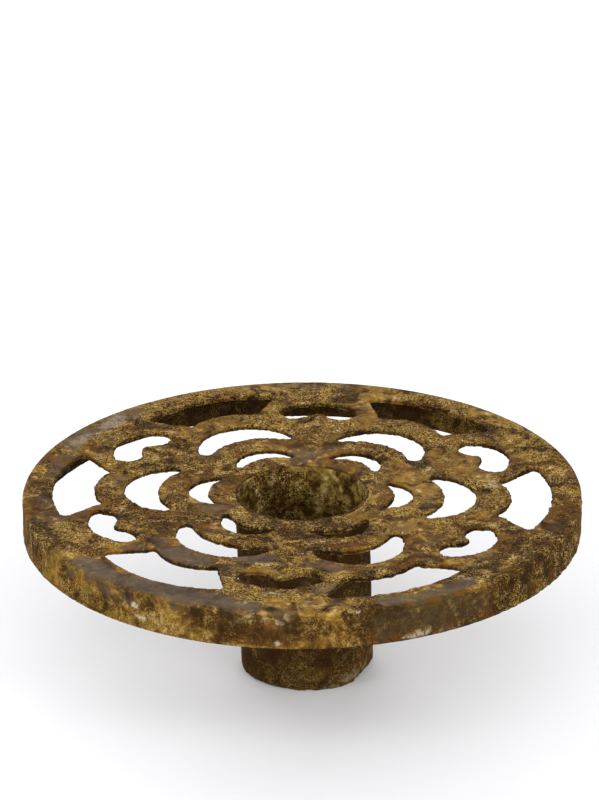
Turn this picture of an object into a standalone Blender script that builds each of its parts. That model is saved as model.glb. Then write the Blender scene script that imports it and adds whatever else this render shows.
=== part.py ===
"""Flower frog: a round iron plate pierced with a six-fold rosette, carried on a short tube.

The plate lies on a hoop bent from flat strip.  A thin-walled tube rises through the middle of the
plate, stands on the table at its lower end and is open all the way through.  Two fillets of weld
metal under the plate join the three iron pieces, where they cannot be seen from above.

Frame: metres, +Z up, origin at the centre of the tube's foot.  One petal of the rosette points
along +X.
"""

import math

import bmesh
import bpy
from mathutils import Vector

# ---------------------------------------------------------------- driving dimensions (metres)

OVERALL_HEIGHT = 0.0612
GAP = 0.0003

PLATE_RADIUS = 0.0900
PLATE_THICKNESS = 0.0014
PLATE_CORNER_RADIUS = 0.0009

HOOP_HEIGHT = 0.0105
HOOP_WALL = 0.0022
HOOP_EDGE_RADIUS = 0.0005

TUBE_OUTER_RADIUS = 0.0215
TUBE_WALL = 0.0011

TUBE_WELD_LEG = 0.0024
HOOP_WELD_LEG = 0.0018
WELD_WAIST_SHARE = 0.36

PETALS = 6
CHORD_ERROR = 0.00009
CUTTER_MARGIN = 0.0020
MERGE_DISTANCE = 0.00001

PLATE_STEPS = 108
TUBE_STEPS = 60

SHARP_EDGE_DEGREES = 35.0

PLATE_RUST = (0.135, 0.075, 0.030)
HOOP_RUST = (0.115, 0.068, 0.034)
TUBE_RUST = (0.100, 0.058, 0.024)
WELD_RUST = (0.080, 0.050, 0.028)

# ---------------------------------------------------------------- heights worked out from them

PLATE_TOP = OVERALL_HEIGHT
PLATE_BOTTOM = PLATE_TOP - PLATE_THICKNESS
HOOP_TOP = PLATE_BOTTOM - GAP
HOOP_BOTTOM = HOOP_TOP - HOOP_HEIGHT
HOOP_INNER_RADIUS = PLATE_RADIUS - HOOP_WALL
TUBE_INNER_RADIUS = TUBE_OUTER_RADIUS - TUBE_WALL
PLATE_BORE_RADIUS = TUBE_OUTER_RADIUS + GAP

# ---------------------------------------------------------------- the four kinds of opening
#
# Each is half an outline, symmetric about the line that runs out from the plate's centre.  A point
# is (distance along that line, distance to its side).  The first point is the middle of the inner
# edge and the last the middle of the outer edge.  Between them, end points of arcs alternate with
# a point that the arc passes through.

INNER_CRESCENT = [
    (0.0302, 0.0),
    (0.0268, 0.0088),
    (0.0278, 0.0104),
    (0.0290, 0.0099),
    (0.0367, 0.0),
]

OUTER_CRESCENT = [
    (0.0465, 0.0),
    (0.0410, 0.0135),
    (0.0412, 0.0160),
    (0.0434, 0.0167),
    (0.0576, 0.0),
]

PETAL_WINDOW = [
    (0.0672, 0.0),
    (0.0637, 0.0113),
    (0.0635, 0.0131),
    (0.0650, 0.0142),
    (0.0684, 0.0185),
    (0.0720, 0.0225),
    (0.0740, 0.0236),
    (0.0758, 0.0216),
    (0.0806, 0.0),
]

BEAN = [
    (0.0637, 0.0),
    (0.0621, 0.0027),
    (0.0595, 0.0072),
    (0.0621, 0.0124),
    (0.0643, 0.0131),
    (0.0662, 0.0124),
    (0.0723, 0.0),
]

# The rosette was cut by hand.  Where an opening strays from the regular pattern, this says how:
# (shift outwards, shift sideways, scale of its depth, scale of its width), keyed by the kind and
# by the number of the petal, counted anticlockwise from +X.

INNER_CRESCENT_DRIFT = {
    0: (-0.0004, 0.0, 0.95, 0.95),
    1: (0.0004, -0.0007, 1.0, 0.94),
    4: (0.0, -0.0007, 1.0, 1.0),
}

OUTER_CRESCENT_DRIFT = {
    0: (-0.0007, 0.0, 0.95, 0.97),
    1: (0.0, -0.0007, 1.0, 0.97),
    4: (-0.0018, -0.0007, 0.88, 1.03),
    5: (0.0, -0.0009, 1.0, 0.93),
}

PETAL_WINDOW_DRIFT = {
    2: (0.0, -0.0011, 1.0, 0.96),
    4: (-0.0018, -0.0020, 1.12, 0.96),
    5: (0.0, -0.0030, 0.97, 0.98),
}

BEAN_DRIFT = {
    0: (0.0009, -0.0007, 1.0, 0.96),
    3: (0.0007, -0.0026, 0.90, 1.0),
    4: (0.0, -0.0011, 1.0, 1.06),
    5: (0.0004, -0.0016, 1.04, 0.97),
}

NO_DRIFT = (0.0, 0.0, 1.0, 1.0)


# ---------------------------------------------------------------- scene, materials, helpers

def clear_scene():
    for item in list(bpy.data.objects):
        bpy.data.objects.remove(item, do_unlink=True)


def new_collection(name):
    collection = bpy.data.collections.new(name)
    bpy.context.scene.collection.children.link(collection)
    return collection


def iron_material(name, colour, roughness, metallic):
    material = bpy.data.materials.new(name)
    material.use_nodes = True
    shader = material.node_tree.nodes["Principled BSDF"]
    shader.inputs["Base Color"].default_value = (*colour, 1.0)
    shader.inputs["Roughness"].default_value = roughness
    shader.inputs["Metallic"].default_value = metallic
    return material


def turned(name, profile, steps, collection):
    """Turn a closed (radius, height) profile, listed down its outer side, about the Z axis."""
    mesh = bpy.data.meshes.new(name)
    corners = [(radius, 0.0, height) for radius, height in profile]
    edges = [(index, (index + 1) % len(corners)) for index in range(len(corners))]
    mesh.from_pydata(corners, edges, [])
    piece = bpy.data.objects.new(name, mesh)
    collection.objects.link(piece)
    screw = piece.modifiers.new("turn", "SCREW")
    screw.steps = steps
    screw.render_steps = steps
    screw.use_merge_vertices = True
    screw.merge_threshold = MERGE_DISTANCE
    return piece


def corner_arc(centre_radius, centre_height, size, start_degrees, end_degrees, steps):
    """Points of a rounded corner in a turned profile, from one angle to another."""
    points = []
    for step in range(steps + 1):
        angle = math.radians(start_degrees + (end_degrees - start_degrees) * step / steps)
        radius = centre_radius + size * math.cos(angle)
        height = centre_height + size * math.sin(angle)
        points.append((radius, height))
    return points


# ---------------------------------------------------------------- outlines of the openings

def circle_through(first, middle, last):
    """Centre of the circle through three points, or None where they lie on one line."""
    a = middle - first
    b = last - first
    twice_area = 2.0 * (a.x * b.y - a.y * b.x)
    if abs(twice_area) < 1e-12:
        return None
    x = (b.y * a.length_squared - a.y * b.length_squared) / twice_area
    y = (a.x * b.length_squared - b.x * a.length_squared) / twice_area
    return first + Vector((x, y))


def arc(first, middle, last):
    """Points from first up to, but without, last, along the circle through all three."""
    centre = circle_through(first, middle, last)
    if centre is None:
        return [first]
    spoke = first - centre
    start = math.atan2(spoke.y, spoke.x)
    turns = [math.atan2((point - centre).y, (point - centre).x) - start for point in (middle, last)]
    to_middle, to_last = [turn % math.tau for turn in turns]
    if to_middle > to_last:
        to_last -= math.tau
    step_angle = 2.0 * math.acos(1.0 - CHORD_ERROR / spoke.length)
    steps = max(2, math.ceil(abs(to_last) / step_angle))
    points = []
    for step in range(steps):
        angle = start + to_last * step / steps
        points.append(centre + spoke.length * Vector((math.cos(angle), math.sin(angle))))
    return points


def whole_outline(half):
    """Mirror half an outline and turn it into a closed loop of points along its arcs."""
    inner_middle = Vector(half[0])
    outer_middle = Vector(half[-1])
    side = [Vector(point) for point in half[1:-1]]
    other_side = [Vector((point.x, -point.y)) for point in side]
    points = arc(other_side[0], inner_middle, side[0])
    for index in range(0, len(side) - 2, 2):
        points += arc(side[index], side[index + 1], side[index + 2])
    points += arc(side[-1], outer_middle, other_side[-1])
    for index in range(len(side) - 1, 1, -2):
        points += arc(other_side[index], other_side[index - 1], other_side[index - 2])
    return points


def drifted(points, drift):
    """Scale an outline about its own middle and shift it, as a hand-cut opening strays."""
    shift_out, shift_side, depth_scale, width_scale = drift
    middle = sum((point.x for point in points)) / len(points)
    moved = []
    for point in points:
        out = middle + (point.x - middle) * depth_scale + shift_out
        side = point.y * width_scale + shift_side
        moved.append(Vector((out, side)))
    return moved


def around_the_centre(points, angle):
    """Turn an outline about the plate's centre."""
    cosine = math.cos(angle)
    sine = math.sin(angle)
    return [(point.x * cosine - point.y * sine, point.x * sine + point.y * cosine) for point in points]


def rosette_outlines():
    """Closed outlines of all the openings in the plate."""
    kinds = [
        (INNER_CRESCENT, INNER_CRESCENT_DRIFT, 0.0),
        (OUTER_CRESCENT, OUTER_CRESCENT_DRIFT, 0.0),
        (PETAL_WINDOW, PETAL_WINDOW_DRIFT, 0.0),
        (BEAN, BEAN_DRIFT, 0.5),
    ]
    outlines = []
    for half, drifts, first_place in kinds:
        points = whole_outline(half)
        for petal in range(PETALS):
            angle = math.tau * (petal + first_place) / PETALS
            cut = drifted(points, drifts.get(petal, NO_DRIFT))
            outlines.append(around_the_centre(cut, angle))
    return outlines


def rosette_cutter(collection):
    """One cutter for all the openings: flat outlines, extruded through the plate."""
    curve = bpy.data.curves.new("rosette_outline", "CURVE")
    curve.dimensions = "2D"
    curve.fill_mode = "BOTH"
    curve.extrude = PLATE_THICKNESS / 2.0 + CUTTER_MARGIN
    for outline in rosette_outlines():
        spline = curve.splines.new("POLY")
        spline.points.add(len(outline) - 1)
        for point, (x, y) in zip(spline.points, outline):
            point.co = (x, y, 0.0, 1.0)
        spline.use_cyclic_u = True
    outline_object = bpy.data.objects.new("rosette_outline", curve)
    outline_object.location.z = (PLATE_TOP + PLATE_BOTTOM) / 2.0
    collection.objects.link(outline_object)
    cutter = solid_from_curve(outline_object, "rosette_cutter", collection)
    cutter.hide_render = True
    cutter.display_type = "WIRE"
    return cutter


def solid_from_curve(curve_object, name, collection):
    """Replace a filled curve by a closed mesh with its caps welded on."""
    bpy.context.view_layer.update()
    evaluated = curve_object.evaluated_get(bpy.context.evaluated_depsgraph_get())
    mesh = bpy.data.meshes.new_from_object(evaluated)
    mesh.name = name
    shape = bmesh.new()
    shape.from_mesh(mesh)
    bmesh.ops.remove_doubles(shape, verts=shape.verts, dist=MERGE_DISTANCE)
    bmesh.ops.recalc_face_normals(shape, faces=shape.faces)
    shape.to_mesh(mesh)
    shape.free()
    solid = bpy.data.objects.new(name, mesh)
    solid.matrix_world = curve_object.matrix_world
    collection.objects.link(solid)
    bpy.data.objects.remove(curve_object, do_unlink=True)
    return solid


# ---------------------------------------------------------------- the pieces

def make_face_plate(parts, cutters):
    """The round plate: turned blank with a softened upper corner, then the rosette cut through."""
    corner_centre = PLATE_RADIUS - PLATE_CORNER_RADIUS
    corner = corner_arc(corner_centre, PLATE_TOP - PLATE_CORNER_RADIUS, PLATE_CORNER_RADIUS, 90, 0, 3)
    profile = [(PLATE_BORE_RADIUS, PLATE_TOP)]
    profile += corner
    profile += [(PLATE_RADIUS, PLATE_BOTTOM), (PLATE_BORE_RADIUS, PLATE_BOTTOM)]
    plate = turned("face_plate", profile, PLATE_STEPS, parts)
    cut = plate.modifiers.new("rosette", "BOOLEAN")
    cut.operation = "DIFFERENCE"
    cut.solver = "EXACT"
    cut.object = rosette_cutter(cutters)
    plate.data.materials.append(iron_material("rusted_plate_iron", PLATE_RUST, 0.85, 0.20))
    return plate


def make_rim_hoop(parts):
    """The strip hoop under the plate's edge, with its lower edges softened."""
    size = HOOP_EDGE_RADIUS
    outer = corner_arc(PLATE_RADIUS - size, HOOP_BOTTOM + size, size, 0, -90, 2)
    inner = corner_arc(HOOP_INNER_RADIUS + size, HOOP_BOTTOM + size, size, -90, -180, 2)
    profile = [(HOOP_INNER_RADIUS, HOOP_TOP), (PLATE_RADIUS, HOOP_TOP)]
    profile += outer
    profile += inner
    hoop = turned("rim_hoop", profile, PLATE_STEPS, parts)
    hoop.data.materials.append(iron_material("rusted_hoop_iron", HOOP_RUST, 0.80, 0.25))
    return hoop


def make_stem_tube(parts):
    """The open tube that the frog stands on, flush with the plate at its upper end."""
    profile = [
        (TUBE_INNER_RADIUS, PLATE_TOP),
        (TUBE_OUTER_RADIUS, PLATE_TOP),
        (TUBE_OUTER_RADIUS, 0.0),
        (TUBE_INNER_RADIUS, 0.0),
    ]
    tube = turned("stem_tube", profile, TUBE_STEPS, parts)
    tube.data.materials.append(iron_material("rusted_tube_iron", TUBE_RUST, 0.85, 0.20))
    return tube


def make_tube_weld(parts):
    """The hollow fillet of weld metal between the tube's outside and the plate's underside."""
    near = TUBE_OUTER_RADIUS + GAP
    top = PLATE_BOTTOM - GAP
    far = near + TUBE_WELD_LEG
    low = top - TUBE_WELD_LEG
    waist = TUBE_WELD_LEG * WELD_WAIST_SHARE
    profile = [(near, top), (far, top), (near + waist, top - waist), (near, low)]
    weld = turned("tube_weld", profile, TUBE_STEPS, parts)
    weld.data.materials.append(iron_material("tube_weld_metal", WELD_RUST, 0.90, 0.30))
    return weld


def make_hoop_weld(parts):
    """The hollow fillet of weld metal in the corner inside the hoop."""
    near = HOOP_INNER_RADIUS - GAP
    top = PLATE_BOTTOM - GAP
    far = near - HOOP_WELD_LEG
    low = top - HOOP_WELD_LEG
    waist = HOOP_WELD_LEG * WELD_WAIST_SHARE
    profile = [(far, top), (near, top), (near, low), (near - waist, top - waist)]
    weld = turned("hoop_weld", profile, PLATE_STEPS, parts)
    weld.data.materials.append(iron_material("hoop_weld_metal", WELD_RUST, 0.90, 0.30))
    return weld


def shade_round(piece):
    """Smooth the turned walls and keep the real edges sharp."""
    piece.data.shade_smooth()
    piece.data.set_sharp_from_angle(angle=math.radians(SHARP_EDGE_DEGREES))


def main():
    clear_scene()
    parts = new_collection("flower_frog")
    cutters = new_collection("flower_frog_cutters")
    pieces = [
        make_face_plate(parts, cutters),
        make_rim_hoop(parts),
        make_stem_tube(parts),
        make_tube_weld(parts),
        make_hoop_weld(parts),
    ]
    for piece in pieces:
        shade_round(piece)


main()
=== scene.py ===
"""Flower frog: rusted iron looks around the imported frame.

Every piece starts as a fine, even-grained copy of its CAD node.  The iron is then weathered in
mesh code: crust, pits, ragged edges, a worn foot.  The same fields are kept on the vertices, so
that the materials colour the crust where it really stands.
"""

import math

import bmesh
import bpy
import numpy as np
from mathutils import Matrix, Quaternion, Vector, noise


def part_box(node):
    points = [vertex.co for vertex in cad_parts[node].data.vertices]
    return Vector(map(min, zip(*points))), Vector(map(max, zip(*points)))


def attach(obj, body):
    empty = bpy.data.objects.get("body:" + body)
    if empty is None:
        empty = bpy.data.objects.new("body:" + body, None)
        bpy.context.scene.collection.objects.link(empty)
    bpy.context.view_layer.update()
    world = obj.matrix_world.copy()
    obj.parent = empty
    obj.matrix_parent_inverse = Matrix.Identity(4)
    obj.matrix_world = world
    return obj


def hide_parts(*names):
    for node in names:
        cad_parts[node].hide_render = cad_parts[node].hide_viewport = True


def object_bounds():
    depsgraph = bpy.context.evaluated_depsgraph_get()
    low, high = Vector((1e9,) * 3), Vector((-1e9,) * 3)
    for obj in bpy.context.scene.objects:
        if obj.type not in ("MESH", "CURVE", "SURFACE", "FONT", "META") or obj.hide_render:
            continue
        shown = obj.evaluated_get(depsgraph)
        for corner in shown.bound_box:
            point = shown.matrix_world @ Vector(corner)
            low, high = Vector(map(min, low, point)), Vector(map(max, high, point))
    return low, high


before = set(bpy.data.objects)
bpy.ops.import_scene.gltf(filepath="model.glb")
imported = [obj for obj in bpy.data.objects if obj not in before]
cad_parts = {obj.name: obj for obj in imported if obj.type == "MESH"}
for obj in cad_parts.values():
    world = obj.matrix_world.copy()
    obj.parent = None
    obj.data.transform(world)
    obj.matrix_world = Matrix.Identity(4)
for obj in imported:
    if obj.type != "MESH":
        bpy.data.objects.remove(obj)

MM = 0.001
CAD_LOW, CAD_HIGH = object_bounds()

PLATE_TOP = CAD_HIGH.z
PLATE_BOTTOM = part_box("face_plate")[0].z
PLATE_RADIUS = CAD_HIGH.x
TUBE_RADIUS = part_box("stem_tube")[1].x

# ---------------------------------------------------------------- camera, with lengths in metres

LENS_MM = 202.5
SENSOR_MM = 36.0
NEAR_LIMIT = 0.05
FAR_LIMIT = 20.0
CAMERA_DISTANCE = 1.449
CAMERA_AZIMUTH = math.radians(5.0)
CAMERA_ELEVATION = math.radians(24.5)
CAMERA_ROLL = math.radians(-0.4)
AIM_RIGHT = -0.0006
AIM_UP = 0.0293


def make_camera():
    """Look at the plate's centre from slightly above, with the frog low in the picture."""
    right = Vector((math.cos(CAMERA_AZIMUTH), math.sin(CAMERA_AZIMUTH), 0.0))
    level = Vector((math.sin(CAMERA_AZIMUTH), -math.cos(CAMERA_AZIMUTH), 0.0))
    back = level * math.cos(CAMERA_ELEVATION) + Vector((0.0, 0.0, math.sin(CAMERA_ELEVATION)))
    up = back.cross(right)
    centre = Vector((0.0, 0.0, PLATE_TOP))
    aim = centre + right * AIM_RIGHT + up * AIM_UP
    data = bpy.data.cameras.new("camera")
    data.sensor_width = SENSOR_MM
    data.lens = LENS_MM
    data.clip_start = NEAR_LIMIT
    data.clip_end = FAR_LIMIT
    camera = bpy.data.objects.new("camera", data)
    bpy.context.scene.collection.objects.link(camera)
    camera.location = centre + back * CAMERA_DISTANCE
    camera.rotation_mode = "QUATERNION"
    turn = (camera.location - aim).to_track_quat("Z", "Y")
    camera.rotation_quaternion = turn @ Quaternion((0.0, 0.0, 1.0), CAMERA_ROLL)
    bpy.context.scene.camera = camera


# ---------------------------------------------------------------- light and floor

FLOOR_HALF_WIDTH = 4.0
FLOOR_DROP = 0.02 * MM
FLOOR_COLOUR = (0.80, 0.80, 0.815)
FLOOR_ROUGHNESS = 0.9
FLOOR_SPECULAR = 0.1
WORLD_STRENGTH = 0.72
WORLD_COLOUR = (0.98, 0.985, 1.0)
SOFT_BOX_DISTANCE = 1.5
SOFT_BOX_TARGET = (0.0, 0.0, 0.03)

# Each box: its turn from +X and its height angle in degrees, its width and height, its brightness.
SOFT_BOXES = [
    ("back_box", 104.0, 17.0, (1.45, 0.78), 5.9),
    ("left_box", 209.0, 20.0, (0.85, 0.95), 4.0),
    ("right_box", 322.0, 20.0, (0.90, 0.95), 4.9),
    ("upper_box", 275.0, 47.0, (1.5, 0.6), 2.5),
]


def make_floor():
    """A plain pale floor, just under the tube's foot."""
    half = FLOOR_HALF_WIDTH
    mesh = bpy.data.meshes.new("floor")
    corners = [(-half, -half, 0.0), (half, -half, 0.0), (half, half, 0.0), (-half, half, 0.0)]
    mesh.from_pydata(corners, [], [(0, 1, 2, 3)])
    floor = bpy.data.objects.new("floor", mesh)
    bpy.context.scene.collection.objects.link(floor)
    floor.location.z = -FLOOR_DROP
    material = bpy.data.materials.new("pale_floor")
    material.use_nodes = True
    shader = material.node_tree.nodes["Principled BSDF"]
    shader.inputs["Base Color"].default_value = (*FLOOR_COLOUR, 1.0)
    shader.inputs["Roughness"].default_value = FLOOR_ROUGHNESS
    shader.inputs["Specular IOR Level"].default_value = FLOOR_SPECULAR
    mesh.materials.append(material)


def soft_box(name, turn, height, size, brightness):
    """A soft box at a turn and a height angle, facing the frog."""
    level = SOFT_BOX_DISTANCE * math.cos(math.radians(height))
    place = Vector((
        level * math.cos(math.radians(turn)),
        level * math.sin(math.radians(turn)),
        SOFT_BOX_DISTANCE * math.sin(math.radians(height)),
    ))
    data = bpy.data.lights.new(name, "AREA")
    data.shape = "RECTANGLE"
    data.size = size[0]
    data.size_y = size[1]
    data.energy = brightness * math.pi * size[0] * size[1]
    lamp = bpy.data.objects.new(name, data)
    bpy.context.scene.collection.objects.link(lamp)
    lamp.location = place
    away = place - Vector(SOFT_BOX_TARGET)
    lamp.rotation_mode = "QUATERNION"
    lamp.rotation_quaternion = away.to_track_quat("Z", "Y")


def make_light():
    """A white room, a bright box behind, one at each side in front and one above."""
    world = bpy.data.worlds.new("studio")
    world.use_nodes = True
    background = world.node_tree.nodes["Background"]
    background.inputs["Color"].default_value = (*WORLD_COLOUR, 1.0)
    background.inputs["Strength"].default_value = WORLD_STRENGTH
    bpy.context.scene.world = world
    for box in SOFT_BOXES:
        soft_box(*box)
    bpy.context.scene.view_settings.view_transform = "Standard"


# ---------------------------------------------------------------- fields over the iron

def vertex_vectors(mesh, kind):
    """Every vertex's place (co) or direction (normal), one row each."""
    flat = np.empty(len(mesh.vertices) * 3, np.float32)
    mesh.vertices.foreach_get(kind, flat)
    return flat.reshape(-1, 3).astype(float)


def turns_of(points):
    """Each point's turn about the tube's axis, in degrees from +X."""
    return np.degrees(np.arctan2(points[:, 1], points[:, 0]))


def radii_of(points):
    """Each point's distance from the tube's axis."""
    return np.hypot(points[:, 0], points[:, 1])


def smooth_step(low, high, value):
    """0 at low, 1 at high and smooth between; low may be above high."""
    share = np.clip((value - low) / (high - low), 0.0, 1.0)
    return share * share * (3.0 - 2.0 * share)


def cloud(points, grain, octaves=4, seed=0.0, roughness=0.5):
    """Fractal noise, about -1 to 1, with its coarsest lumps grain metres wide."""
    offset = Vector((seed * 7.31, seed * -3.17, seed * 5.73))
    fade = -math.log(roughness) / math.log(2.0)
    scale = 1.0 / grain
    values = [noise.fractal(Vector(p) * scale + offset, fade, 2.0, octaves) for p in points.tolist()]
    return np.array(values)


def pocks(points, grain, seed=0.0):
    """Distance to the nearest of scattered points, 0 at the point, about 1 between points."""
    offset = Vector((seed * 4.19, seed * 9.37, seed * -2.71))
    scale = 1.0 / grain
    values = [noise.voronoi(Vector(p) * scale + offset)[0][0] for p in points.tolist()]
    return np.array(values)


def flat_points(points):
    """The same points with no height, for a field that runs straight down an edge."""
    columns = points.copy()
    columns[:, 2] = 0.0
    return columns


# ---------------------------------------------------------------- stains, painted shade and painted highlights, each in its own place
#
# Each stain runs along an arc: from one turn to another (degrees from +X), at a radius and a
# height, with a reach from the arc and a strength from 0 to 1.  Lengths are in millimetres.

TOP = 61.0
SKIN_STAINS = [
    (-137, -96, 85, TOP, 5.5, 1.0),    # smooth margin, near left
    (-67, -48, 85.5, TOP, 3.6, 0.9),   # smooth margin, near right
    (-127, -119, 61, TOP, 6.5, 0.9),   # lobe above the near left window
    (-104, -97, 50, TOP, 5.0, 0.8),
    (-80, -70, 73, TOP, 4.5, 0.7),
    (136, 158, 85, TOP, 4.5, 0.8),     # far left margin
    (160, 176, 82, TOP, 4.0, 0.5),
    (84, 100, 86, TOP, 2.5, 0.6),      # far margin
    (-68, -47, 90, 55.5, 5.0, 0.65),   # smooth olive stretch of the side, near right
]
OCHRE_AND_SHEEN_STAINS = [
    (-138, -86, 90, 49.3, 0.8, 0.9),   # thin line along the side's lower edge
    (-30, 10, 40, TOP, 9.0, 0.5),      # gritty gold right of the bore
    (-110, -60, 21.5, 5, 5.0, 0.5),    # tube, low
    (-127, -113, 90, 55, 7.0, 1.0),    # golden patch on the near left side
    (-147, -133, 90, 56, 8.0, 0.7),
    (-113, -106, 90, 52, 4.0, 0.8),
    (-95, -84, 90, 60, 3.5, 0.7),
    (-81, -77, 90, 60, 3.0, 1.0),
    (-79, -76, 90, 54, 4.5, 0.9),
    (-46, -44, 90, 54.5, 2.2, 1.0),
    (-64, -58, 90, 51.0, 1.4, 0.8),
    (-30, -26, 90, 57.0, 2.0, 0.8),
    (-96, -82, 81, TOP, 5.0, 0.7),     # top, over the tube's near side
    (154, 154, 55.6, TOP, 3.6, 1.0),
    (-40, -24, 34, TOP, 5.5, 0.7),
    (20, 44, 36, TOP, 5.0, 0.5),
    (22, 36, 80, TOP, 5.5, 0.8),
    (36, 52, 86, TOP, 4.5, 0.7),
    (111, 111, 79, TOP, 4.0, 0.9),     # far bars
    (66, 78, 76, TOP, 5.0, 1.0),
    (106, 138, 86, TOP, 4.0, 0.7),
    (40, 64, 88, 54, 5.0, 0.8),        # far inside of the band
    (8, 14, 62, TOP, 4.0, 0.9),
    (-60, 20, 22.4, TOP, 1.1, 0.9),    # painted highlight on the lip of the bore
    (-156, -150, 80, TOP, 4.5, 0.9),
    (-141, -136, 74, TOP, 4.0, 0.8),
    (-112, -104, 36, TOP, 3.5, 0.8),
    (-98, -80, 62, TOP, 4.0, 0.6),
    (-50, -36, 72, TOP, 6.0, 0.6),
    (20, 160, 84, TOP, 6.0, 0.6),      # painted sheen: far rim, lighter all round
    (-10, 165, 58, TOP, 13.0, 0.35),   # painted sheen: far half of the plate, a little lighter
]
CHALK_STAINS = [
    (-52, -36, 21.5, 2.2, 1.1, 0.6),   # foot of the tube, right
    (-70, -58, 21.5, 0.5, 0.7, 0.5),
    (-146, -146, 83.7, TOP, 0.9, 0.9),
    (-120, -120, 90, 56.5, 1.1, 1.0),
    (-119, -118, 90, 52.8, 0.9, 0.8),
    (-93, -93, 90, 58.4, 0.8, 0.6),
    (-90, -89, 90, 57.8, 0.7, 0.5),
    (-74, -74, 89.8, TOP, 0.6, 0.8),
    (-90, -90, 90, 51.0, 0.8, 0.7),
    (-65, -60, 90, 50.4, 0.6, 0.6),
    (9, 12, 62, TOP, 1.1, 0.6),
    (-94, -90, 76, TOP, 0.7, 0.5),
    (141, 146, 84, TOP, 3.2, 0.26),    # pale bloom, far left
    (152, 157, 83.5, TOP, 2.6, 0.26),
    (-48.3, -47.7, 80.5, TOP, 0.5, 0.6),  # scratch beside the near right window
    (-47.9, -47.3, 82.2, TOP, 0.5, 0.5),
    (-47.5, -46.9, 83.9, TOP, 0.5, 0.5),
]
CREAM_STAINS_AND_HIGHLIGHT = [
    (-96, -89, 90, 58.8, 2.4, 0.9),    # ragged marks on the side, over the tube
    (-91, -90, 90, 51.0, 1.4, 0.9),
    (-98, -82, 83, TOP, 2.6, 0.6),
    (-79, -76, 89.5, 60.3, 2.0, 0.6),
    (-122, -115, 90, 52.5, 3.0, 0.9),
    (-65, -58, 90, 50.6, 1.6, 1.0),
    (-80, 12, 21.2, TOP, 0.9, 1.0),    # painted highlight on the lip of the bore
    (72, 76, 75, TOP, 3.0, 0.7),
    (108, 114, 78, TOP, 3.0, 0.6),
    (6, 15, 61, TOP, 3.5, 0.9),
    (152, 156, 56, TOP, 2.4, 0.8),
    (-36, -22, 34, TOP, 4.0, 0.5),
    (-110, -60, 21.5, 0.7, 0.9, 0.9),  # foot of the tube
    (-46, -14, 21.5, 2.5, 2.4, 1.0),
    (100, 122, 20.4, 55, 3.5, 0.6),    # mottling in the bore
    (60, 72, 20.4, 56, 2.5, 0.4),
]
GREEN_STAINS = [
    (-72, -50, 90, 56.5, 5.0, 0.6),
    (-150, -146, 89, 60, 3.0, 0.5),
]
DARK_STAINS_AND_SHADE = [
    (-140, -60, 29, TOP, 3.4, 0.6),    # ring round the bore's near side
    (-179, 179, 21.7, 32, 20.0, 0.55),  # painted shadow on the tube under the plate
    (130, 179, 20.4, 53, 6.0, 1.0),    # painted shade, left of the bore
    (40, 125, 20.4, 44, 6.0, 0.9),     # painted shade in the depth of the bore
    (-170, -150, 85, TOP, 5.0, 0.6),
    (-106, -97, 90, 56, 5.0, 0.9),
    (-94, -86, 90, 54, 3.0, 0.7),
    (-87, -82, 90, 56, 4.5, 1.0),
    (-75, -71, 90, 55, 3.6, 0.8),
    (-44, -16, 90, 55, 6.0, 0.9),
    (-42, -14, 87.5, TOP, 5.0, 0.6),
    (-132, -127, 90, 53, 3.0, 0.7),
    (-69, -45, 90, 55, 5.5, 0.75),
    (-62, -30, 38, TOP, 2.5, 0.4),
]
RUST_STAINS = [
    (-110, -105, 90, 54, 4.0, 1.0),
    (-72, -70, 90, 52, 2.0, 1.0),
    (158, 166, 80, TOP, 5.0, 0.7),
    (-135, -120, 45, TOP, 9.0, 0.5),
    (100, 140, 45, TOP, 9.0, 0.5),
    (-60, -20, 55, TOP, 9.0, 0.4),
]

STAINS = {
    "skin": SKIN_STAINS,
    "ochre_and_sheen": OCHRE_AND_SHEEN_STAINS,
    "chalk": CHALK_STAINS,
    "cream": CREAM_STAINS_AND_HIGHLIGHT,
    "green": GREEN_STAINS,
    "dark": DARK_STAINS_AND_SHADE,
    "rust": RUST_STAINS,
}
BORDER_WOBBLE = 0.6


def stain_field(points, stains, wobble):
    """How strongly a point is marked by one list of marks (stains, painted shade and highlights), 0 to
    1, with ragged borders from a shared wobble.
    """
    field = np.zeros(len(points))
    turns = turns_of(points)
    radii = radii_of(points)
    for first, last, radius, height, reach, strength in stains:
        off_turn = turns - np.clip(turns, first, last)
        across = np.radians(off_turn) * radius * MM
        away = np.sqrt(across**2 + (radii - radius * MM)**2 + (points[:, 2] - height * MM)**2)
        edge = away / (reach * MM) + BORDER_WOBBLE * wobble
        field = np.maximum(field, strength * smooth_step(1.3, 0.5, edge))
    return field


# ---------------------------------------------------------------- fine copies of the CAD nodes

MERGE_DISTANCE = 0.001 * MM


def fine_copy(node, name, voxel, reshape=None):
    """An even-grained copy of a CAD node, optionally reshaped before it is regrained."""
    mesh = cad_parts[node].data.copy()
    mesh.materials.clear()
    form = bmesh.new()
    form.from_mesh(mesh)
    bmesh.ops.remove_doubles(form, verts=form.verts, dist=MERGE_DISTANCE)
    if reshape:
        for vert in form.verts:
            vert.co = reshape(vert.co)
    form.to_mesh(mesh)
    form.free()
    rough = bpy.data.objects.new(name, mesh)
    bpy.context.scene.collection.objects.link(rough)
    grain = rough.modifiers.new("grain", "REMESH")
    grain.mode = "VOXEL"
    grain.voxel_size = voxel
    grain.adaptivity = 0.0
    apply_modifiers(rough)
    return rough


def apply_modifiers(piece):
    """Make the piece's mesh what its modifiers show, and take them off."""
    bpy.context.view_layer.update()
    evaluated = piece.evaluated_get(bpy.context.evaluated_depsgraph_get())
    mesh = bpy.data.meshes.new_from_object(evaluated)
    mesh.name = piece.name
    old = piece.data
    piece.modifiers.clear()
    piece.data = mesh
    bpy.data.meshes.remove(old)


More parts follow.
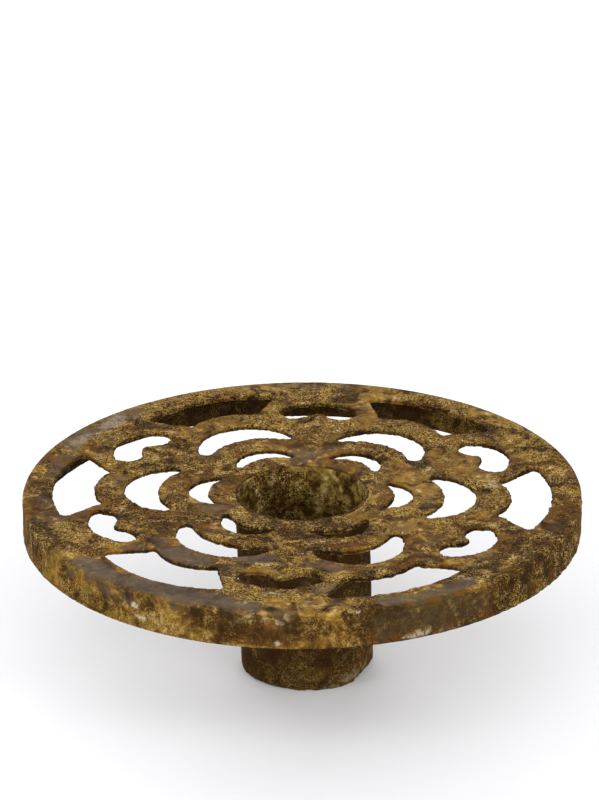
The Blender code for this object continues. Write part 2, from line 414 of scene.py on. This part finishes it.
def thin_out(piece, most_triangles):
    """Collapse edges where the surface is flat, down to a number of triangles."""
    triangles = sum(len(face.vertices) - 2 for face in piece.data.polygons)
    if triangles > most_triangles:
        thin = piece.modifiers.new("thin", "DECIMATE")
        thin.ratio = most_triangles / triangles
        apply_modifiers(piece)


# ---------------------------------------------------------------- weathering

# The widths of the coarsest lumps in each noise.
CRUST_GRAIN = 22.0 * MM
GRIT_GRAIN = 2.6 * MM
LUMP_GRAIN = 3.2 * GRIT_GRAIN
PIT_GRAIN = 3.4 * MM
EDGE_GRAIN = 2.2 * MM
FOOT_GRAIN = 6.0 * MM
BORDER_GRAIN = 7.0 * MM

# The relief that the material's field takes from 0 to 1.
RELIEF_SPAN = 0.8 * MM

# The turned rim is smooth but for these arcs: first and last turn in degrees, and a strength.
# Each fades out from ARC_INSIDE degrees inside its ends to ARC_OUTSIDE degrees outside them.
ROUGH_ARCS = [(-44.0, 4.0, 1.1), (-176.0, -132.0, 0.8)]
ARC_OUTSIDE = 6.0
ARC_INSIDE = 8.0
CALM_RIM = 0.3
RIM_START = 87.0 * MM
RIM_FULL = 89.0 * MM


def rim_roughness(points):
    """How rough the turned rim is; away from the rim this is 1."""
    turns = turns_of(points)
    share = np.full(len(points), CALM_RIM)
    for first, last, strength in ROUGH_ARCS:
        entered = smooth_step(first - ARC_OUTSIDE, first + ARC_INSIDE, turns)
        not_left = smooth_step(last + ARC_OUTSIDE, last - ARC_INSIDE, turns)
        share = np.maximum(share, strength * (entered * not_left))
    return 1.0 + (share - 1.0) * smooth_step(RIM_START, RIM_FULL, radii_of(points))


def crust_share(points, wobble):
    """Where the rust has swollen into a gritty crust (1) and where a smooth skin is left (0)."""
    broad = cloud(points, CRUST_GRAIN, 3, seed=1.0)
    middle = cloud(points, CRUST_GRAIN * 0.3, 3, seed=2.0)
    share = smooth_step(-0.35, 0.35, broad + 0.55 * middle + 0.16)
    share *= 0.25 + 0.75 * np.clip(rim_roughness(points), 0.0, 1.0)
    return share * (1.0 - 0.85 * stain_field(points, SKIN_STAINS, wobble))


def surface_relief(points, crust, depth):
    """How far grit, lumps and pits move the surface along its normals, in metres."""
    grit = cloud(points, GRIT_GRAIN, 3, seed=3.0, roughness=0.6)
    lumps = cloud(points, LUMP_GRAIN, 2, seed=4.0)
    pits = smooth_step(0.34, 0.12, pocks(points, PIT_GRAIN, seed=5.0))
    relief = (0.22 * grit + 0.14 * lumps) * (0.30 + 0.90 * crust)
    relief += 0.10 * crust
    relief -= 0.22 * pits * (0.35 + 0.65 * crust)
    return relief * depth * rim_roughness(points)


class IronPiece:
    def __init__(self, node, name, voxel, depth, reshape=None):
        self.node = node
        self.piece = fine_copy(node, name, voxel, reshape)
        self.points = vertex_vectors(self.piece.data, "co")
        self.facing = vertex_vectors(self.piece.data, "normal")
        self.turns = turns_of(self.points)
        self.radii = radii_of(self.points)
        self.wobble = cloud(self.points, BORDER_GRAIN, 4, seed=6.0, roughness=0.6)
        self.crust = crust_share(self.points, self.wobble)
        self.relief = surface_relief(self.points, self.crust, depth)

    def keep(self, name, values):
        """Keep one number for each vertex, for the material."""
        attribute = self.piece.data.attributes.new(name, "FLOAT", "POINT")
        attribute.data.foreach_set("value", values.astype(np.float32))

    def keep_fields(self, wall, bore, shade):
        """Keep what the material needs to know at each vertex."""
        everywhere = np.ones(len(self.points))
        self.keep("wall", wall * everywhere)
        self.keep("bore", bore * everywhere)
        self.keep("shade", shade * everywhere)
        self.keep("crust", self.crust)
        self.keep("relief", np.clip(0.5 + self.relief / RELIEF_SPAN, 0.0, 1.0))
        for name, stains in STAINS.items():
            self.keep(name, stain_field(self.points, stains, self.wobble))

    def finish(self, offsets, material, wall=0.0, bore=0.0, shade=0.0):
        """Move the vertices, keep the fields and put the piece in place of its CAD node."""
        mesh = self.piece.data
        mesh.vertices.foreach_set("co", (self.points + offsets).astype(np.float32).ravel())
        mesh.update()
        self.keep_fields(wall, bore, shade)
        thin_out(self.piece, MOST_TRIANGLES)
        self.piece.data.materials.append(material)
        self.piece.data.shade_smooth()
        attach(self.piece, "root")
        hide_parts(self.node)


# ---------------------------------------------------------------- node trees

class Nodes:
    """Short calls for building a node tree."""

    def __init__(self, material):
        self.tree = material.node_tree

    def add(self, kind, **settings):
        node = self.tree.nodes.new(kind)
        for key, value in settings.items():
            setattr(node, key, value)
        return node

    def feed(self, socket, value):
        """Link a socket to another one, or set its value."""
        if isinstance(value, bpy.types.NodeSocket):
            self.tree.links.new(value, socket)
        else:
            socket.default_value = value

    def attribute(self, name):
        return self.add("ShaderNodeAttribute", attribute_name=name).outputs["Fac"]

    def place(self):
        return self.add("ShaderNodeTexCoord").outputs["Object"]

    def stretched(self, rise):
        """Object place with heights scaled, so that marks on upright walls run downward."""
        node = self.add("ShaderNodeVectorMath", operation="MULTIPLY")
        self.feed(node.inputs[0], self.place())
        node.inputs[1].default_value = (1.0, 1.0, rise)
        return node.outputs[0]

    def shifted(self, vector, distance):
        node = self.add("ShaderNodeVectorMath", operation="ADD")
        self.feed(node.inputs[0], vector)
        node.inputs[1].default_value = (distance, -distance, distance)
        return node.outputs[0]

    def noise(self, scale, detail, roughness, vector, distortion=0.0):
        node = self.add("ShaderNodeTexNoise")
        self.feed(node.inputs["Vector"], vector)
        node.inputs["Scale"].default_value = scale
        node.inputs["Detail"].default_value = detail
        node.inputs["Roughness"].default_value = roughness
        node.inputs["Distortion"].default_value = distortion
        return node.outputs["Fac"]

    def span(self, value, low, high, start=0.0, end=1.0):
        """A smooth rise from start to end while the value goes from low to high."""
        node = self.add("ShaderNodeMapRange", interpolation_type="SMOOTHSTEP")
        self.feed(node.inputs["Value"], value)
        node.inputs["From Min"].default_value = low
        node.inputs["From Max"].default_value = high
        node.inputs["To Min"].default_value = start
        node.inputs["To Max"].default_value = end
        return node.outputs["Result"]

    def math(self, operation, first, second, clamp=False):
        node = self.add("ShaderNodeMath", operation=operation, use_clamp=clamp)
        self.feed(node.inputs[0], first)
        self.feed(node.inputs[1], second)
        return node.outputs[0]

    def times(self, first, second, clamp=False):
        return self.math("MULTIPLY", first, second, clamp)

    def plus(self, first, second):
        return self.math("ADD", first, second)

    def larger(self, first, second):
        return self.math("MAXIMUM", first, second)

    def blend(self, share, first, second):
        """A number between two others."""
        node = self.add("ShaderNodeMix", data_type="FLOAT")
        self.feed(node.inputs[0], share)
        self.feed(node.inputs[2], first)
        self.feed(node.inputs[3], second)
        return node.outputs[0]

    def mix(self, share, first, second):
        """A colour between two others."""
        node = self.add("ShaderNodeMix", data_type="RGBA", blend_type="MIX")
        self.feed(node.inputs[0], share)
        self.feed(node.inputs[6], first)
        self.feed(node.inputs[7], second)
        return node.outputs[2]

    def brighter(self, colour, gain):
        node = self.add("ShaderNodeVectorMath", operation="SCALE")
        self.feed(node.inputs[0], colour)
        node.inputs["Scale"].default_value = gain
        return node.outputs[0]

    def ramp(self, value, stops):
        node = self.add("ShaderNodeValToRGB")
        self.feed(node.inputs["Fac"], value)
        ramp = node.color_ramp
        while len(ramp.elements) < len(stops):
            ramp.elements.new(0.5)
        for element, (position, colour) in zip(ramp.elements, stops):
            element.position = position
            element.color = colour
        return node.outputs["Color"]


# ---------------------------------------------------------------- colours

LIGHT_LEVEL = 1.27


def linear(value):
    """An sRGB value from 0 to 1, as light."""
    if value <= 0.04045:
        return value / 12.92
    return ((value + 0.055) / 1.055) ** 2.4


def seen(text):
    """A surface colour that looks like a hex sRGB one under this scene's light."""
    values = [int(text[index:index + 2], 16) / 255.0 for index in (0, 2, 4)]
    return (*[linear(value) / LIGHT_LEVEL for value in values], 1.0)


PIT_AND_SHADE_BLACK = seen("180e04")
DARK_UMBER = seen("33200a")
UMBER = seen("4e3414")
GREY_BROWN = seen("5e4526")
BROWN = seen("6a491b")
RUST = seen("7f5115")
OCHRE = seen("8f6b25")
STRAW = seen("c59e4e")
CREAM = seen("dcc78c")
WARM_CREAM = seen("b89a5c")
SKIN_GREY = seen("62513d")
SKIN_DARK = seen("463a2c")
GREEN = seen("4f4e2f")
OLIVE = seen("5e4a1e")
PALE_OLIVE = seen("a59a72")
DULL_GOLD = seen("7d672e")
CHALK = seen("e2d4bc")

BASE_STOPS = [(0.0, DARK_UMBER), (0.3, UMBER), (0.5, GREY_BROWN), (0.75, BROWN), (1.0, RUST)]
BORE_STOPS = [
    (0.0, PIT_AND_SHADE_BLACK),
    (0.32, DARK_UMBER),
    (0.55, OLIVE),
    (0.78, DULL_GOLD),
    (0.98, PALE_OLIVE),
]
BORE_GAIN = 1.75

# ---------------------------------------------------------------- layers of rust, painted shade and painted highlights
#
# Noise scales are in lumps per metre.  Each layer takes the colour under it and returns the
# colour with the layer laid on.

BROAD_SCALE = 60.0
PATCH_SCALE = 150.0
SECOND_SCALE = 125.0
SECOND_SHIFT = 3.7
MIDDLE_SCALE = 420.0
GRIT_SCALE = 1100.0
SPECK_SCALE = 2100.0
SPECULAR = 0.05
BUMP_DISTANCE = 0.95 * MM


class Rust:
    """The noises and kept fields that the layers share."""

    def __init__(self, nodes, streak):
        runny = nodes.stretched(streak)
        plain = nodes.place()
        moved = nodes.shifted(runny, SECOND_SHIFT)
        self.crust = nodes.attribute("crust")
        self.relief = nodes.attribute("relief")
        self.broad = nodes.noise(BROAD_SCALE, 5.0, 0.6, runny)
        self.patch = nodes.noise(PATCH_SCALE, 7.0, 0.68, runny, distortion=0.7)
        self.second = nodes.noise(SECOND_SCALE, 7.0, 0.70, moved, distortion=0.4)
        self.middle = nodes.noise(MIDDLE_SCALE, 5.0, 0.65, plain)
        self.grit = nodes.noise(GRIT_SCALE, 3.0, 0.7, plain)
        self.speck = nodes.noise(SPECK_SCALE, 2.0, 0.6, plain)
        self.fine = nodes.blend(self.crust, self.middle, self.grit)
        bare = nodes.span(self.crust, 0.6, 0.0)
        bare = nodes.times(bare, nodes.span(self.broad, 0.46, 0.60, 0.0, 0.6))
        self.skin = nodes.larger(bare, nodes.attribute("skin"))


def brown_base(nodes, rust):
    """Umber to brown in patches, warmer where a second noise or a stain says so."""
    base = nodes.ramp(nodes.span(rust.patch, 0.34, 0.66), BASE_STOPS)
    warm = nodes.larger(nodes.span(rust.second, 0.46, 0.58, 0.0, 0.8), nodes.attribute("rust"))
    return nodes.mix(warm, base, nodes.mix(nodes.span(rust.fine, 0.40, 0.60), BROWN, RUST))


def smooth_skin(nodes, rust, colour):
    """Grey-brown skin where the crust hasn't swollen."""
    tone = nodes.mix(nodes.span(rust.second, 0.40, 0.62), SKIN_DARK, SKIN_GREY)
    return nodes.mix(nodes.times(rust.skin, 0.92), colour, tone)


def golden_crust(nodes, rust, colour):
    """Ochre and straw on the higher patches and as painted sheen on the far half, with cream where they
    are richest.
    """
    golden = nodes.span(rust.patch, 0.51, 0.60)
    golden = nodes.times(golden, nodes.span(rust.broad, 0.42, 0.54, 0.25, 1.0))
    # The ochre stains include painted sheen on the far half of the plate and a painted highlight on the
    # bore's lip.
    ochre_and_sheen_share = nodes.times(nodes.attribute("ochre_and_sheen"), nodes.span(rust.patch, 0.41, 0.50))
    golden = nodes.larger(golden, ochre_and_sheen_share)
    golden = nodes.times(golden, nodes.span(rust.skin, 0.9, 0.3, 0.1, 1.0))
    tone = nodes.mix(nodes.span(rust.fine, 0.42, 0.60), OCHRE, STRAW)
    colour = nodes.mix(nodes.times(golden, 0.9), colour, tone)
    cream = nodes.times(nodes.span(rust.middle, 0.56, 0.66), nodes.span(rust.patch, 0.55, 0.64))
    return nodes.mix(nodes.times(cream, 0.85), colour, CREAM)


def bore_coat(nodes, rust, colour):
    """Mottled olive inside the tube."""
    wide = nodes.span(rust.second, 0.32, 0.68)
    narrow = nodes.span(rust.middle, 0.32, 0.70)
    mottle = nodes.blend(0.5, wide, narrow)
    tone = nodes.brighter(nodes.ramp(mottle, BORE_STOPS), BORE_GAIN)
    return nodes.mix(nodes.attribute("bore"), colour, tone)


def placed_marks(nodes, rust, colour):
    """The creamy, green and dark stains. Among the creamy ones is a painted highlight on the bore's
    lip, and among the dark ones painted shade on the tube and in the bore.
    """
    creamy = nodes.times(nodes.attribute("cream"), nodes.span(rust.middle, 0.52, 0.62, 0.0, 0.85))
    tone = nodes.mix(nodes.span(rust.second, 0.42, 0.60), WARM_CREAM, CREAM)
    colour = nodes.mix(creamy, colour, tone)
    green = nodes.times(nodes.attribute("green"), nodes.span(rust.second, 0.42, 0.56, 0.0, 0.7))
    colour = nodes.mix(green, colour, GREEN)
    # Dark stains, with painted shade on the tube under the plate and in the bore.
    dark = nodes.times(nodes.attribute("dark"), nodes.span(rust.middle, 0.58, 0.42, 0.45, 0.85))
    return nodes.mix(dark, colour, DARK_UMBER)


def pits_and_sparkle(nodes, rust, colour):
    """Black pits, dark hollows, and pale specks that are partly grains and partly painted glints,
    strongest on the crust.
    """
    pitted = nodes.times(nodes.span(rust.speck, 0.51, 0.40), nodes.span(rust.crust, 0.0, 0.9, 0.1, 1.0))
    colour = nodes.mix(pitted, colour, PIT_AND_SHADE_BLACK)
    colour = nodes.mix(nodes.span(rust.relief, 0.44, 0.14, 0.0, 0.7), colour, PIT_AND_SHADE_BLACK)
    # Pale specks on the gritty crust, partly grains and partly painted glints.
    large = nodes.span(rust.grit, 0.55, 0.64, 0.0, 0.75)
    small = nodes.span(rust.speck, 0.54, 0.62, 0.0, 0.7)
    gritty = nodes.span(rust.crust, 0.1, 0.9, 0.12, 1.0)
    sparkle = nodes.times(nodes.plus(large, small), gritty, clamp=True)
    sparkle = nodes.times(sparkle, nodes.span(rust.patch, 0.42, 0.58, 0.15, 1.0))
    tone = nodes.mix(nodes.span(rust.middle, 0.48, 0.62), STRAW, CREAM)
    return nodes.mix(sparkle, colour, tone)


def chalk_and_painted_shade(nodes, rust, colour):
    """Chalk spots, painted shade on the opening walls and the hoop's inside, and painted shade on the
    sides and the tube.
    """
    chalk = nodes.times(nodes.attribute("chalk"), nodes.span(rust.grit, 0.38, 0.56, 0.1, 0.9))
    colour = nodes.mix(chalk, colour, CHALK)
    wall_shade_strength = nodes.span(nodes.attribute("ochre_and_sheen"), 0.0, 1.0, 0.85, 0.4)
    # Painted shade on the opening walls and the hoop's inside, weaker where the ochre stains lie.
    colour = nodes.mix(nodes.times(nodes.attribute("wall"), wall_shade_strength), colour, PIT_AND_SHADE_BLACK)
    # Painted shade on the outer side, the hoop and the tube's outside.
    return nodes.mix(nodes.attribute("shade"), colour, DARK_UMBER)


# From the bottom layer to the top one.
LAYERS = [smooth_skin, golden_crust, bore_coat, placed_marks, pits_and_sparkle, chalk_and_painted_shade]


def grain_bump(nodes, rust):
    """The finest grain as a bump, weak on the smooth skin."""
    height = nodes.plus(nodes.times(rust.grit, 0.6), nodes.times(rust.speck, 0.4))
    height = nodes.times(height, nodes.span(rust.skin, 0.0, 1.0, 1.0, 0.25))
    height = nodes.times(height, nodes.span(rust.crust, 0.0, 0.8, 0.35, 1.0))
    bump = nodes.add("ShaderNodeBump")
    bump.inputs["Strength"].default_value = 1.0
    bump.inputs["Distance"].default_value = BUMP_DISTANCE
    nodes.feed(bump.inputs["Height"], height)
    return bump.outputs["Normal"]


def rusted_iron(name, streak=1.0):
    """Layered rust: brown base, gritty golden crust with painted sheen, smooth skin, stains, pits and
    chalk, with painted glints and painted shade.
    """
    material = bpy.data.materials.new(name)
    material.use_nodes = True
    nodes = Nodes(material)
    rust = Rust(nodes, streak)
    colour = brown_base(nodes, rust)
    for layer in LAYERS:
        colour = layer(nodes, rust, colour)
    shader = material.node_tree.nodes["Principled BSDF"]
    nodes.feed(shader.inputs["Base Color"], colour)
    nodes.feed(shader.inputs["Roughness"], nodes.span(rust.skin, 0.0, 1.0, 0.95, 0.75))
    nodes.feed(shader.inputs["Normal"], grain_bump(nodes, rust))
    shader.inputs["Specular IOR Level"].default_value = SPECULAR
    return material


# ---------------------------------------------------------------- the pieces

MOST_TRIANGLES = 196000

# Painted shade: how much darker the outer side, the tube's outside and the hoop's inside are painted.
SIDE_SHADE = 0.28
TUBE_SHADE = 0.72
HOOP_WALL_SHADE = 0.8

PLATE_VOXEL = 0.45 * MM
HOOP_VOXEL = 0.42 * MM
TUBE_VOXEL = 0.42 * MM
WELD_VOXEL = 0.45 * MM

# How deeply each piece is weathered.
PLATE_DEPTH = 1.0 * MM
HOOP_DEPTH = 0.9 * MM
TUBE_DEPTH = 0.6 * MM
WELD_DEPTH = 0.6 * MM

# The plate sags from SAG_START inward, and fully from SAG_FULL on.
PLATE_SAG = 0.7 * MM
SAG_START = 0.97 * PLATE_RADIUS
SAG_FULL = 0.55 * PLATE_RADIUS
RIM_SIDE = 1.5 * MM

# The plate's bore is any point this near the tube, and it closes to this far inside the tube's face.
BRIDGE_REACH = 0.5 * MM
BRIDGE_OVERLAP = 0.05 * MM

# How far the openings' walls are jagged: a little everywhere, and more on the right, where it
# rises and falls between these turns, in degrees.
JAG_LEAST = 0.40
JAG_MORE = 0.30
JAG_RISE = (-75.0, -50.0)
JAG_FALL = (40.0, 15.0)

# What counts as the hoop's upper edge, and how far it is raised and drawn in.
HOOP_EDGE = 1.0 * MM
HOOP_RAISE = 0.45 * MM
HOOP_INSET = 0.15 * MM

# Radii between which the hoop turns from its outer face's colour to its inner face's painted shade.
HOOP_OUTSIDE = 89.4 * MM
HOOP_INSIDE = 88.4 * MM

# Radii between which the tube turns from its outer face's colour to its bore's.
BORE_START = TUBE_RADIUS - 0.7 * MM
BORE_FULL = TUBE_RADIUS - 1.0 * MM

# Each chip in the tube's foot: its turn and half width in degrees, and its rise.  The foot's
# shape fades out up to FOOT_REACH, and the tube leans to the right.
FOOT_CHIPS = [(-8.0, 40.0, 2.3 * MM), (-118.0, 30.0, 0.5 * MM)]
FOOT_RAGGEDNESS = 0.5 * MM
FOOT_REACH = 12.0 * MM
TUBE_LEAN = 1.4 * MM


def close_plate_gaps(co):
    """Let the plate's bore close on the tube, so that rust bridges the gap."""
    radius = math.hypot(co.x, co.y)
    if radius >= TUBE_RADIUS + BRIDGE_REACH:
        return co
    closed = TUBE_RADIUS - BRIDGE_OVERLAP
    return Vector((co.x * closed / radius, co.y * closed / radius, co.z))


def close_hoop_gap(co):
    """Raise the hoop's upper edge against the plate, drawn in a hair so that a seam shows."""
    if co.z <= PLATE_BOTTOM - HOOP_EDGE:
        return co
    radius = math.hypot(co.x, co.y)
    inset = (radius - HOOP_INSET) / radius
    return Vector((co.x * inset, co.y * inset, co.z + HOOP_RAISE))


def sag(radii):
    """How far the plate has sunk, deepest round the tube."""
    return -PLATE_SAG * smooth_step(SAG_START, SAG_FULL, radii)


def make_plate(material):
    """The pierced plate, with ragged opening walls, raggedest on the right, in painted shade like its
    outer side.
    """
    plate = IronPiece("face_plate", "pierced_plate", PLATE_VOXEL, PLATE_DEPTH, close_plate_gaps)
    upright = smooth_step(0.55, 0.85, 1.0 - np.abs(plate.facing[:, 2]))
    inside = plate.radii < PLATE_RADIUS - RIM_SIDE
    wall = upright * inside
    side = upright * (1.0 - inside)
    more = JAG_MORE * smooth_step(*JAG_RISE, plate.turns) * smooth_step(*JAG_FALL, plate.turns)
    jag = cloud(flat_points(plate.points), EDGE_GRAIN, 3, seed=8.0, roughness=0.62)
    step = plate.relief + wall * ((JAG_LEAST + more) * jag * MM - plate.relief * 0.6)
    offsets = plate.facing * step[:, None]
    offsets[:, 2] += sag(plate.radii)
    plate.finish(offsets, material, wall=wall, shade=SIDE_SHADE * side)


def make_hoop(material):
    """The band under the plate's edge, in painted shade, darkest inside."""
    hoop = IronPiece("rim_hoop", "rim_band", HOOP_VOXEL, HOOP_DEPTH, close_hoop_gap)
    inner = smooth_step(HOOP_OUTSIDE, HOOP_INSIDE, hoop.radii)
    offsets = hoop.facing * hoop.relief[:, None]
    hoop.finish(offsets, material, wall=HOOP_WALL_SHADE * inner, shade=SIDE_SHADE)


def foot_rise(tube):
    """How far the broken foot stands above the floor: a ragged line and chips."""
    ragged = np.abs(cloud(flat_points(tube.points), FOOT_GRAIN, 3, seed=11.0))
    rise = FOOT_RAGGEDNESS * ragged
    for turn, half_width, height in FOOT_CHIPS:
        away = np.abs(tube.turns - turn)
        rise = rise + height * smooth_step(half_width, 0.4 * half_width, away)
    return rise


def make_tube(material):
    """The open tube: sunk with the plate at its top, chipped and leaning at its foot."""
    tube = IronPiece("stem_tube", "centre_tube", TUBE_VOXEL, TUBE_DEPTH)
    heights = tube.points[:, 2]
    offsets = tube.facing * tube.relief[:, None]
    offsets[:, 2] += sag(tube.radii) * smooth_step(0.5 * PLATE_TOP, PLATE_TOP, heights)
    offsets[:, 2] += foot_rise(tube) * np.clip(1.0 - heights / FOOT_REACH, 0.0, 1.0)
    offsets[:, 0] += TUBE_LEAN * (1.0 - np.clip(heights / PLATE_BOTTOM, 0.0, 1.0))
    offsets[:, 2] = np.maximum(offsets[:, 2], -heights)
    bore = smooth_step(BORE_START, BORE_FULL, tube.radii)
    # Painted shade on the tube's outside, none in the bore.
    tube.finish(offsets, material, bore=bore, shade=TUBE_SHADE * (1.0 - bore))


def make_weld(node, name, material):
    """A fillet of joining metal, rusted like the rest."""
    weld = IronPiece(node, name, WELD_VOXEL, WELD_DEPTH)
    weld.finish(weld.facing * weld.relief[:, None], material)


make_camera()
make_floor()
make_light()
make_plate(rusted_iron("rusted_plate", streak=0.8))
make_hoop(rusted_iron("rusted_hoop", streak=0.8))
make_tube(rusted_iron("rusted_tube", streak=0.6))
make_weld("tube_weld", "tube_weld_bead", rusted_iron("rusted_weld"))
make_weld("hoop_weld", "hoop_weld_bead", rusted_iron("rusted_hoop_weld"))
